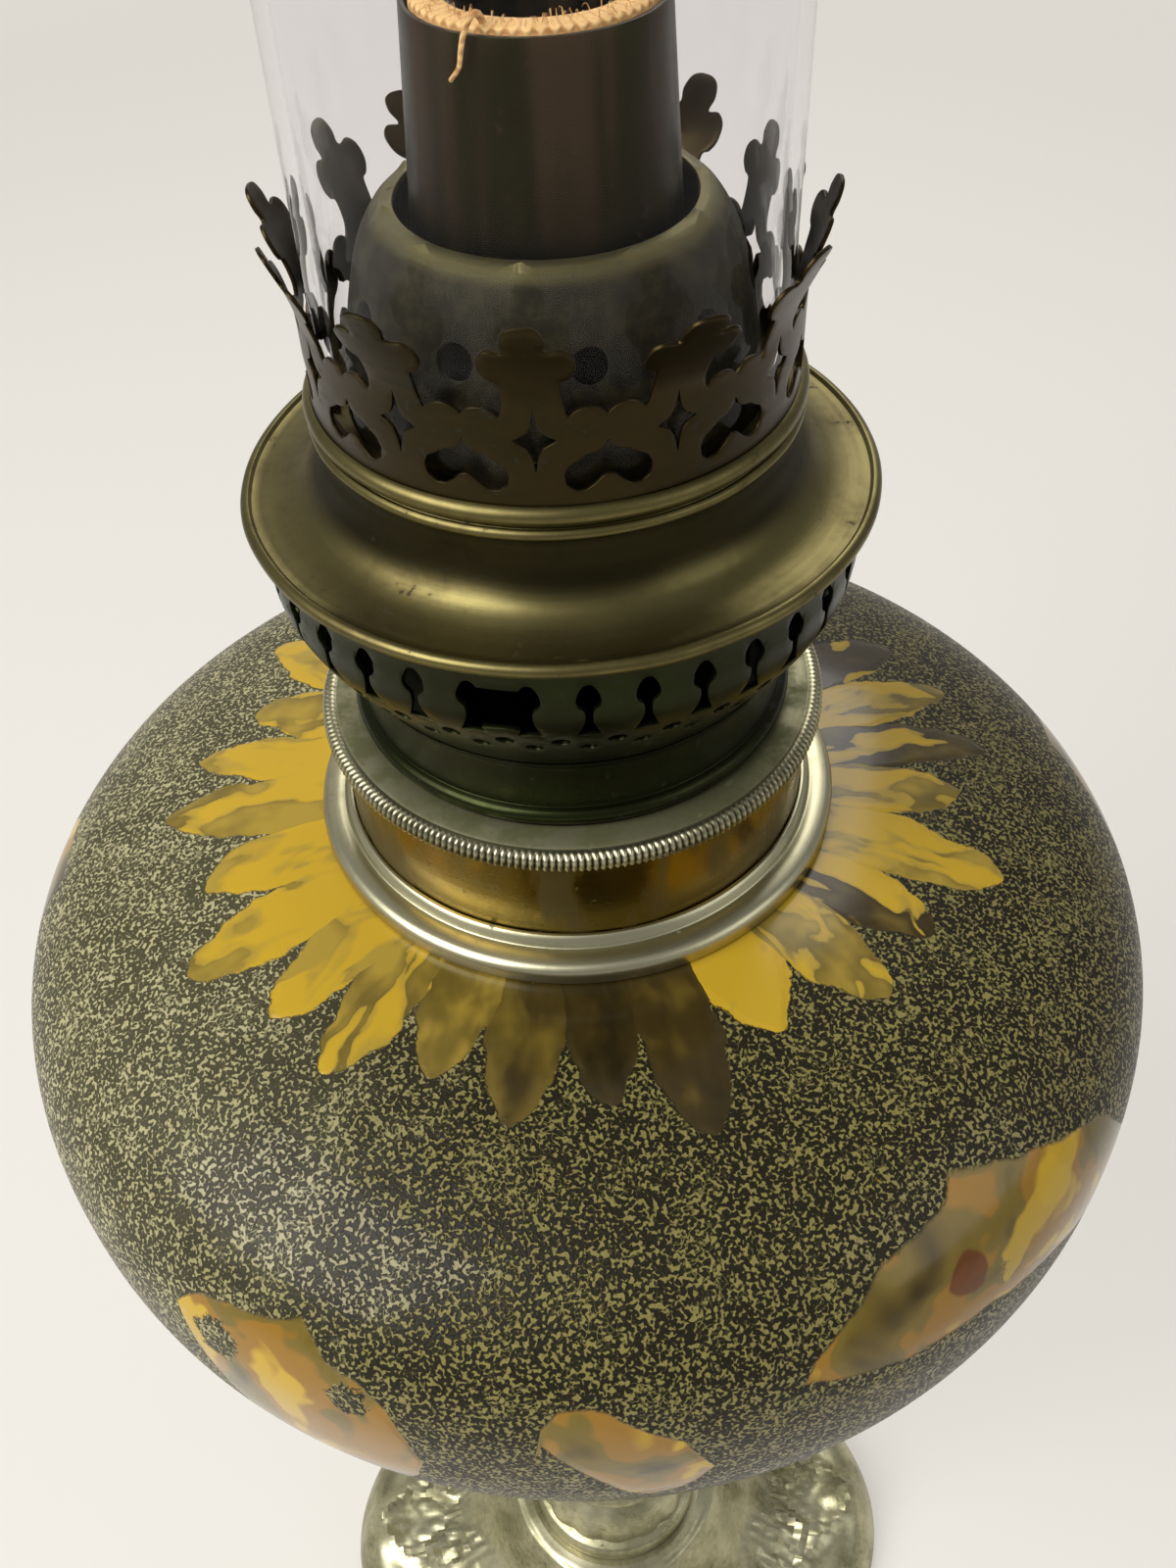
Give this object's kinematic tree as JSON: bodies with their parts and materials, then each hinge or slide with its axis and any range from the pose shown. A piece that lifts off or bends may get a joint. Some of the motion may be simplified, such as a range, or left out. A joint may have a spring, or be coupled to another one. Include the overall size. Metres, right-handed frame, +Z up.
{
  "type": "kerosene table lamp",
  "caption": "Kerosene table lamp: lobed cast foot, baluster stem, squat glazed font, bayonet collar, round-wick side-draught burner with pierced basket and crown, and a glass chimney.",
  "frame": {"origin": "centre of the foot on the surface that the lamp stands on", "axes": "+Z up along the lamp's axis, front towards -Y, and the winder's knob at the back towards +Y"},
  "size_m": [0.178, 0.178, 0.678],
  "materials": {
    "nickel_plate": "worn nickel plate, satin",
    "plaster": "matt plaster",
    "iron": "plain iron",
    "glazed_body": "mottled half-matt glaze",
    "bright_brass": "brass with a dulled shine",
    "leather": "dark leather",
    "dark_brass": "brass with a dark patina",
    "aged_brass": "aged brass",
    "cotton": "woven cotton",
    "clear_glass": "clear blown glass"
  },
  "bodies": {
    "lamp_stand": {"cast_foot": "nickel_plate", "stem_knop": "nickel_plate", "stem_vase": "nickel_plate", "font_socket": "nickel_plate", "socket_plaster": "plaster", "tie_rod": "iron", "tie_rod_washer": "iron", "tie_rod_nut": "iron", "ceramic_font": "glazed_body", "collar_plaster": "plaster", "collar_ring": "nickel_plate", "collar_wall": "bright_brass"},
    "cap": {"bayonet_cap": "nickel_plate"},
    "washer": {"seat_washer": "leather"},
    "burner": {"burner_cup": "dark_brass", "air_basket": "dark_brass", "outer_wick_tube": "dark_brass", "draught_tube": "dark_brass", "wheel_housing": "aged_brass", "shaft_gland": "aged_brass", "gland_nut": "aged_brass"},
    "winder": {"winder_shaft": "aged_brass", "wick_wheel_1": "aged_brass", "wick_wheel_2": "aged_brass", "winder_knob": "aged_brass"},
    "wick": {"round_wick": "cotton"},
    "gallery": {"gallery_plate": "aged_brass", "chimney_crown": "dark_brass", "flame_cone": "aged_brass"},
    "chimney": {"glass_chimney": "clear_glass"}
  },
  "joints": [
    {"name": "collar_turn", "type": "hinge", "parent": "lamp_stand", "child": "cap", "pos_m": [0, 0, 0.3781], "axis": [0, 0, 1], "range_deg": [0, 25]},
    {"name": "burner_rise", "type": "slide", "parent": "cap", "child": "washer", "axis": [0, 0, 1], "range_m": [0, 0.0046]},
    {"name": "burner_unscrew", "type": "hinge", "parent": "washer", "child": "burner", "pos_m": [0, 0, 0.3812], "axis": [0, 0, 1], "range_deg": [0, 900]},
    {"name": "winder_turn", "type": "hinge", "parent": "burner", "child": "winder", "pos_m": [0.0179, 0.0474, 0.3886], "axis": [0, 1, 0], "range_deg": [-45, 112]},
    {"name": "wick_lift", "type": "slide", "parent": "burner", "child": "wick", "axis": [0, 0, 1], "range_m": [-0.004, 0.01]},
    {"name": "gallery_lift", "type": "slide", "parent": "burner", "child": "gallery", "axis": [0, 0, 1], "range_m": [0, 0.06]},
    {"name": "chimney_lift", "type": "slide", "parent": "gallery", "child": "chimney", "axis": [0, 0, 1], "range_m": [0, 0.06]}
  ],
  "couplings": [
    {"joint": "burner_rise", "follows": "burner_unscrew", "m_per_rad": 0.0002865},
    {"joint": "wick_lift", "follows": "winder_turn", "m_per_rad": 0.005}
  ]
}
